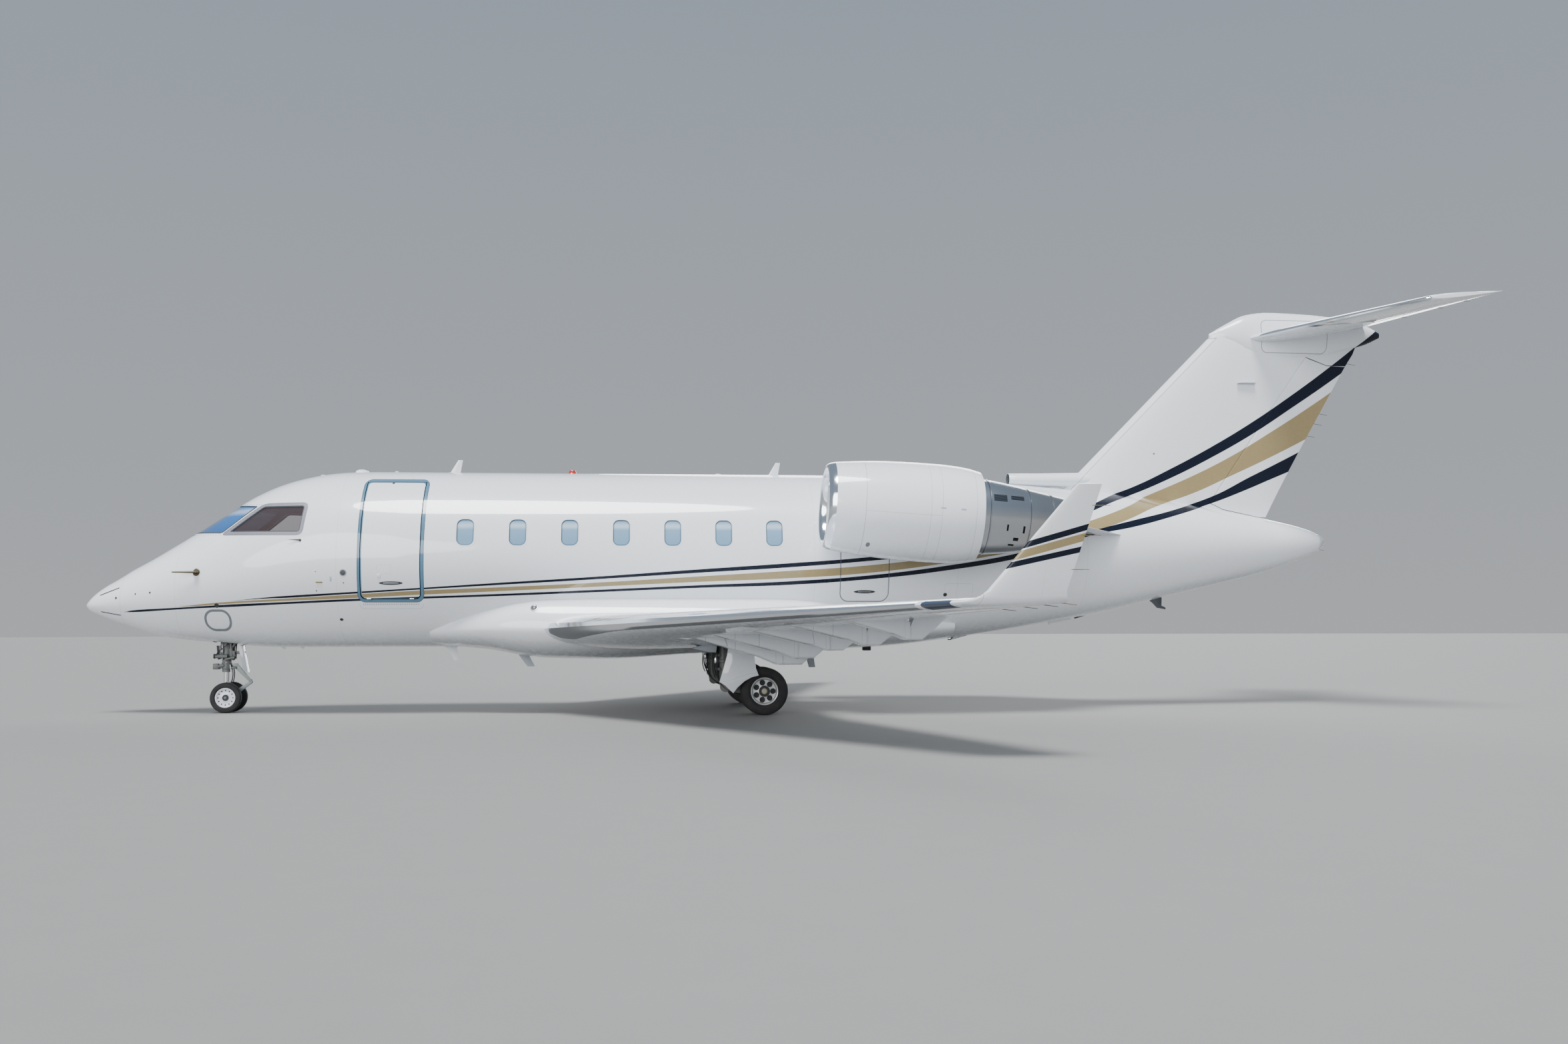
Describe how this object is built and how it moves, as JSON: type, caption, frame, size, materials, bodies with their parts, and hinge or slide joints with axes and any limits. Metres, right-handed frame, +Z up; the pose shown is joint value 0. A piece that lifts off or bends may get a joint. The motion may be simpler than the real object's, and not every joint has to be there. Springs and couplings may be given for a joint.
{
  "type": "business jet",
  "caption": "Twin-engined business jet on its landing gear: swept low wing with winglets, T-tail, hollow cabin, opening stair door, flaps, control surfaces, steering nosewheel and turning fans.",
  "frame": {"origin": "on the ground, below the middle of the overall length, on the centre plane", "axes": "+X aft towards the tail, +Y to starboard, +Z up"},
  "size_m": [20.85, 19.5944, 6.454],
  "materials": {
    "white_paint": "gloss white paint",
    "wing_paint": "gloss light grey paint",
    "polished_metal": "polished",
    "hot_metal": "bare heat-resistant metal",
    "fan_metal": "satin",
    "gear_paint": "satin grey paint",
    "wheel_metal": "satin",
    "tyre_rubber": "matt",
    "glazing": "clear",
    "cabin_trim": "matt"
  },
  "bodies": {
    "airframe": {"radome": "white_paint", "nose_section": "white_paint", "cockpit_shell": "white_paint", "windscreen_left": "glazing", "windscreen_right": "glazing", "side_window_left": "glazing", "side_window_right": "glazing", "cabin_shell": "white_paint", "overwing_exit": "white_paint", "cabin_windows_left": "glazing", "cabin_windows_right": "glazing", "rear_fuselage": "white_paint", "baggage_door": "white_paint", "tail_cone": "white_paint", "cabin_interior": "cabin_trim", "cockpit_interior": "cabin_trim", "belly_fairing": "white_paint", "wing_right": "wing_paint", "wing_left": "wing_paint", "fin": "white_paint", "tailplane": "white_paint", "pylon_right": "white_paint", "inlet_lip_right": "polished_metal", "fan_cowl_right": "white_paint", "engine_right": "hot_metal", "pylon_left": "white_paint", "inlet_lip_left": "polished_metal", "fan_cowl_left": "white_paint", "engine_left": "hot_metal", "main_leg_right": "gear_paint", "main_leg_left": "gear_paint", "nose_leg": "gear_paint"},
    "passenger_door": {"passenger_door": "white_paint"},
    "nose_fork": {"nose_fork": "gear_paint"},
    "nose_wheels": {"nose_wheels": "wheel_metal", "nose_tyre_right": "tyre_rubber", "nose_tyre_left": "tyre_rubber"},
    "main_wheels_left": {"main_wheels_left": "wheel_metal", "main_tyre_left_outer": "tyre_rubber", "main_tyre_left_inner": "tyre_rubber"},
    "main_wheels_right": {"main_wheels_right": "wheel_metal", "main_tyre_right_outer": "tyre_rubber", "main_tyre_right_inner": "tyre_rubber"},
    "flap_inboard_left": {"flap_inboard_left": "wing_paint"},
    "flap_inboard_right": {"flap_inboard_right": "wing_paint"},
    "flap_outboard_left": {"flap_outboard_left": "wing_paint"},
    "flap_outboard_right": {"flap_outboard_right": "wing_paint"},
    "aileron_left": {"aileron_left": "wing_paint"},
    "aileron_right": {"aileron_right": "wing_paint"},
    "rudder": {"rudder": "white_paint"},
    "elevator_left": {"elevator_left": "white_paint"},
    "elevator_right": {"elevator_right": "white_paint"},
    "reverser_sleeve_left": {"reverser_sleeve_left": "white_paint"},
    "reverser_sleeve_right": {"reverser_sleeve_right": "white_paint"},
    "fan_left": {"fan_left": "fan_metal"},
    "fan_right": {"fan_right": "fan_metal"}
  },
  "joints": [
    {"name": "passenger_door_hinge", "type": "hinge", "parent": "airframe", "child": "passenger_door", "pos_m": [-5.753, -1.196, 1.694], "axis": [1, 0, 0], "range_deg": [0, 150]},
    {"name": "nose_steering", "type": "hinge", "parent": "airframe", "child": "nose_fork", "pos_m": [-8.365, 0, 0.6], "axis": [0, 0, 1], "range_deg": [-55, 55]},
    {"name": "nose_wheels_spin", "type": "hinge", "parent": "nose_fork", "child": "nose_wheels", "pos_m": [-8.322, 0, 0.2285], "axis": [0, 1, 0], "continuous": true},
    {"name": "main_wheels_left_spin", "type": "hinge", "parent": "airframe", "child": "main_wheels_left", "pos_m": [-0.332, -1.59, 0.343], "axis": [0, 1, 0], "continuous": true},
    {"name": "main_wheels_right_spin", "type": "hinge", "parent": "airframe", "child": "main_wheels_right", "pos_m": [-0.332, 1.59, 0.343], "axis": [0, 1, 0], "continuous": true},
    {"name": "flap_inboard_left_hinge", "type": "hinge", "parent": "airframe", "child": "flap_inboard_left", "pos_m": [-0.47103, -1.59, 1.16232], "axis": [-0.1597, 0.9858, -0.0518], "range_deg": [0, 45]},
    {"name": "flap_inboard_right_hinge", "type": "hinge", "parent": "airframe", "child": "flap_inboard_right", "pos_m": [-0.47103, 1.59, 1.16232], "axis": [0.1597, 0.9858, 0.0518], "range_deg": [0, 45]},
    {"name": "flap_outboard_left_hinge", "type": "hinge", "parent": "airframe", "child": "flap_outboard_left", "pos_m": [-0.18515, -3.47, 1.26133], "axis": [-0.3005, 0.9529, -0.04], "range_deg": [0, 45]},
    {"name": "flap_outboard_right_hinge", "type": "hinge", "parent": "airframe", "child": "flap_outboard_right", "pos_m": [-0.18515, 3.47, 1.26133], "axis": [0.3005, 0.9529, 0.04], "range_deg": [0, 45]},
    {"name": "aileron_left_hinge", "type": "hinge", "parent": "airframe", "child": "aileron_left", "pos_m": [1.01923, -7.29, 1.4208], "axis": [-0.2996, 0.9535, -0.0335], "range_deg": [-21, 21]},
    {"name": "aileron_right_hinge", "type": "hinge", "parent": "airframe", "child": "aileron_right", "pos_m": [1.01923, 7.29, 1.4208], "axis": [0.2996, 0.9535, 0.0335], "range_deg": [-21, 21]},
    {"name": "rudder_hinge", "type": "hinge", "parent": "airframe", "child": "rudder", "pos_m": [7.135, 0, 3.27], "axis": [0.5833, 0, 0.8122], "range_deg": [-25, 25]},
    {"name": "elevator_left_hinge", "type": "hinge", "parent": "airframe", "child": "elevator_left", "pos_m": [9.26037, -0.34, 6.14412], "axis": [-0.2706, 0.9626, 0.0126], "range_deg": [-23, 18]},
    {"name": "elevator_right_hinge", "type": "hinge", "parent": "airframe", "child": "elevator_right", "pos_m": [9.26037, 0.34, 6.14412], "axis": [0.2706, 0.9626, -0.0126], "range_deg": [-23, 18]},
    {"name": "reverser_left_slide", "type": "slide", "parent": "airframe", "child": "reverser_sleeve_left", "axis": [0.9977, 0, -0.068], "range_m": [0, 0.43]},
    {"name": "reverser_right_slide", "type": "slide", "parent": "airframe", "child": "reverser_sleeve_right", "axis": [0.9977, 0, -0.068], "range_m": [0, 0.43]},
    {"name": "fan_left_spin", "type": "hinge", "parent": "airframe", "child": "fan_left", "pos_m": [0.505, -2.18, 3.018], "axis": [0.9977, 0, -0.068], "continuous": true},
    {"name": "fan_right_spin", "type": "hinge", "parent": "airframe", "child": "fan_right", "pos_m": [0.505, 2.18, 3.018], "axis": [0.9977, 0, -0.068], "continuous": true}
  ],
  "couplings": [
    {"joint": "aileron_left_hinge", "follows": "aileron_right_hinge", "ratio": -1},
    {"joint": "elevator_right_hinge", "follows": "elevator_left_hinge", "ratio": 1},
    {"joint": "flap_inboard_left_hinge", "follows": "flap_inboard_right_hinge", "ratio": 1},
    {"joint": "flap_outboard_left_hinge", "follows": "flap_inboard_right_hinge", "ratio": 1},
    {"joint": "flap_outboard_right_hinge", "follows": "flap_inboard_right_hinge", "ratio": 1}
  ]
}
